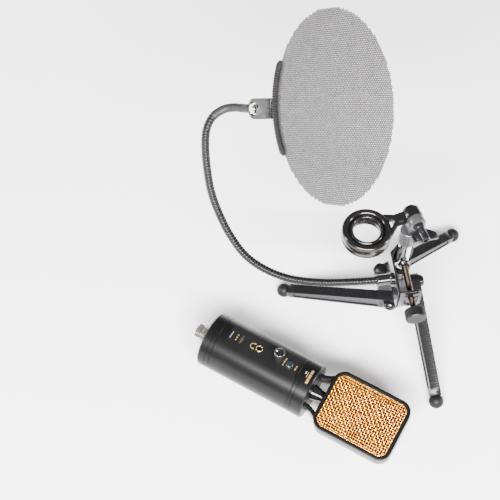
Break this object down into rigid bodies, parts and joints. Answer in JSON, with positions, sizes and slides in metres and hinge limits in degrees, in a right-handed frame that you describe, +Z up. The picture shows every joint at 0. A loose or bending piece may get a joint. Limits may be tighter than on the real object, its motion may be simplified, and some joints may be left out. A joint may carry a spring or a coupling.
{
  "type": "desktop microphone",
  "caption": "Side-address studio microphone lying beside its tripod stand, with swivelling ring mount, clamp, flexible neck and round mesh pop filter.",
  "frame": {"origin": "on the desk, under the middle of the whole set", "axes": "+Z up; the stand is toward +X, +Y, and the microphone lies in front of it toward -Y"},
  "size_m": [0.2621, 0.2494, 0.3809],
  "materials": {
    "stand_grey": "satin moulded nylon",
    "chrome": "mirror chrome",
    "steel": "zinc plated",
    "stand_black": "glossy moulded nylon",
    "leg_black": "satin, ribbed on top",
    "rubber": "moulded rubber",
    "ring_metal": "black anodised, turned",
    "clamp_black": "gloss black paint",
    "screw_black": "black oxide, threaded",
    "knob_black": "knurled plastic",
    "neck_coil": "black wound steel coil",
    "neck_sheath": "satin grey-black",
    "clip_rubber": "ribbed edge trim",
    "filter_mesh": "black-coated expanded mesh",
    "nickel": "bright nickel",
    "mic_black": "fine satin black powder coat",
    "mic_gloss": "glossy black",
    "gold_mesh": "woven gold-plated wire",
    "foam": "open-cell foam",
    "white_plastic": "moulded",
    "brass": "turned brass",
    "gold_film": "gold-sputtered film",
    "panel": "satin charcoal with gilt marks",
    "circuit_board": "green solder mask",
    "button_grey": "smoked cap"
  },
  "bodies": {
    "stand": {"hub": "stand_grey", "post": "chrome", "post_stud": "steel", "lock_collar": "stand_black", "collar_screw": "steel", "leg_screws": "stand_black", "leg_washers": "stand_black"},
    "leg_1": {"leg_1": "leg_black", "foot_1": "rubber"},
    "leg_2": {"leg_2": "leg_black", "foot_2": "rubber"},
    "leg_3": {"leg_3": "leg_black", "foot_3": "rubber"},
    "head": {"swivel_base": "stand_grey", "tilt_bolt": "stand_black"},
    "wing": {"tilt_wing": "leg_black"},
    "ring_mount": {"ring_arm": "stand_black", "ring_bush": "stand_black"},
    "ring_nut": {"ring_nut": "ring_metal"},
    "clamp": {"clamp_frame": "clamp_black", "neck_ferrule": "clamp_black", "neck_lower": "neck_coil"},
    "clamp_pad": {"clamp_pad": "clamp_black"},
    "clamp_screw": {"clamp_screw": "screw_black", "clamp_knob": "knob_black"},
    "neck_middle": {"neck_middle": "neck_coil"},
    "neck_upper": {"neck_upper": "neck_coil", "neck_eye": "neck_sheath"},
    "pop_filter": {"filter_bracket": "stand_black", "rim_clip": "clip_rubber", "filter_mesh": "filter_mesh", "filter_screw": "nickel", "filter_nut": "nickel"},
    "microphone": {"body_tube": "mic_black", "tail_cap": "mic_black", "collar": "mic_black", "neck_arms": "mic_black", "capsule_stem": "mic_gloss", "head_frame": "mic_black", "grille_front": "gold_mesh", "grille_rear": "gold_mesh", "foam_liner": "foam", "capsule_saddle": "white_plastic", "capsule_ring": "brass", "backplate": "brass", "diaphragms": "gold_film", "control_panel": "panel", "usb_socket": "nickel", "headphone_jack": "knob_black", "volume_pot": "steel", "mute_switch": "knob_black", "main_board": "circuit_board", "chassis_rails": "steel", "xlr_shell": "nickel", "xlr_insert": "knob_black", "xlr_pins": "brass", "tail_screws": "steel", "head_screws": "steel"},
    "volume_knob": {"volume_knob": "knob_black"},
    "mute_button": {"mute_button": "button_grey"}
  },
  "joints": [
    {"name": "leg_1_fold", "type": "hinge", "parent": "stand", "child": "leg_1", "pos_m": [0.05203, 0.02222, 0.051], "axis": [-0.3272, -0.9449, 0], "range_deg": [0, 66]},
    {"name": "leg_2_fold", "type": "hinge", "parent": "stand", "child": "leg_2", "pos_m": [0.0739, 0.04116, 0.051], "axis": [0.982, 0.1891, 0], "range_deg": [0, 66]},
    {"name": "leg_3_fold", "type": "hinge", "parent": "stand", "child": "leg_3", "pos_m": [0.04657, 0.05062, 0.051], "axis": [-0.6547, 0.7559, 0], "range_deg": [0, 66]},
    {"name": "head_swivel", "type": "hinge", "parent": "stand", "child": "head", "pos_m": [0.0575, 0.038, 0.14], "axis": [0, 0, 1], "continuous": true},
    {"name": "ring_tilt", "type": "hinge", "parent": "head", "child": "ring_mount", "pos_m": [0.06214, 0.03987, 0.16], "axis": [-0.3746, 0.9272, 0], "range_deg": [-20, 60]},
    {"name": "wing_turn", "type": "hinge", "parent": "head", "child": "wing", "pos_m": [0.06214, 0.03987, 0.16], "axis": [-0.3746, 0.9272, 0], "continuous": true},
    {"name": "ring_nut_turn", "type": "hinge", "parent": "ring_mount", "child": "ring_nut", "pos_m": [0.01987, 0.0297, 0.16], "axis": [0, 0, 1], "continuous": true},
    {"name": "clamp_swing", "type": "hinge", "parent": "stand", "child": "clamp", "pos_m": [0.0575, 0.038, 0.103], "axis": [0, 0, 1], "range_deg": [-35, 35]},
    {"name": "clamp_pad_travel", "type": "slide", "parent": "clamp", "child": "clamp_pad", "axis": [0.1219, -0.9925, 0], "range_m": [0, 0.018]},
    {"name": "clamp_screw_turn", "type": "hinge", "parent": "clamp_pad", "child": "clamp_screw", "pos_m": [0.06237, -0.0017, 0.103], "axis": [0.1219, -0.9925, 0], "range_deg": [0, 4321]},
    {"name": "neck_bend_low", "type": "hinge", "parent": "clamp", "child": "neck_middle", "pos_m": [-0.0625, 0.0235, 0.1045], "axis": [0.3926, 0.9197, 0], "range_deg": [-20, 20]},
    {"name": "neck_bend_top", "type": "hinge", "parent": "neck_middle", "child": "neck_upper", "pos_m": [-0.1155, 0.092, 0.198], "axis": [0, 0.8488, -0.5287], "range_deg": [-20, 20]},
    {"name": "filter_turn", "type": "hinge", "parent": "neck_upper", "child": "pop_filter", "pos_m": [-0.07298, 0.09249, 0.24709], "axis": [-0.8453, -0.3575, 0.3971], "range_deg": [-35, 35]},
    {"name": "microphone_lift", "type": "slide", "parent": "stand", "child": "microphone", "axis": [0, 0, 1], "range_m": [0, 0.25]},
    {"name": "volume_turn", "type": "hinge", "parent": "microphone", "child": "volume_knob", "pos_m": [-0.0523, -0.03723, 0.05012], "axis": [0.0609, 0.1055, 0.9925], "range_deg": [-150, 150]},
    {"name": "mute_press", "type": "slide", "parent": "microphone", "child": "mute_button", "axis": [-0.0609, -0.1055, -0.9925], "range_m": [0, 0.0007], "stiffness_N_per_m": 300, "springref_m": -0.002}
  ],
  "couplings": [
    {"joint": "clamp_screw_turn", "follows": "clamp_pad_travel", "rad_per_m": 4188.8}
  ]
}
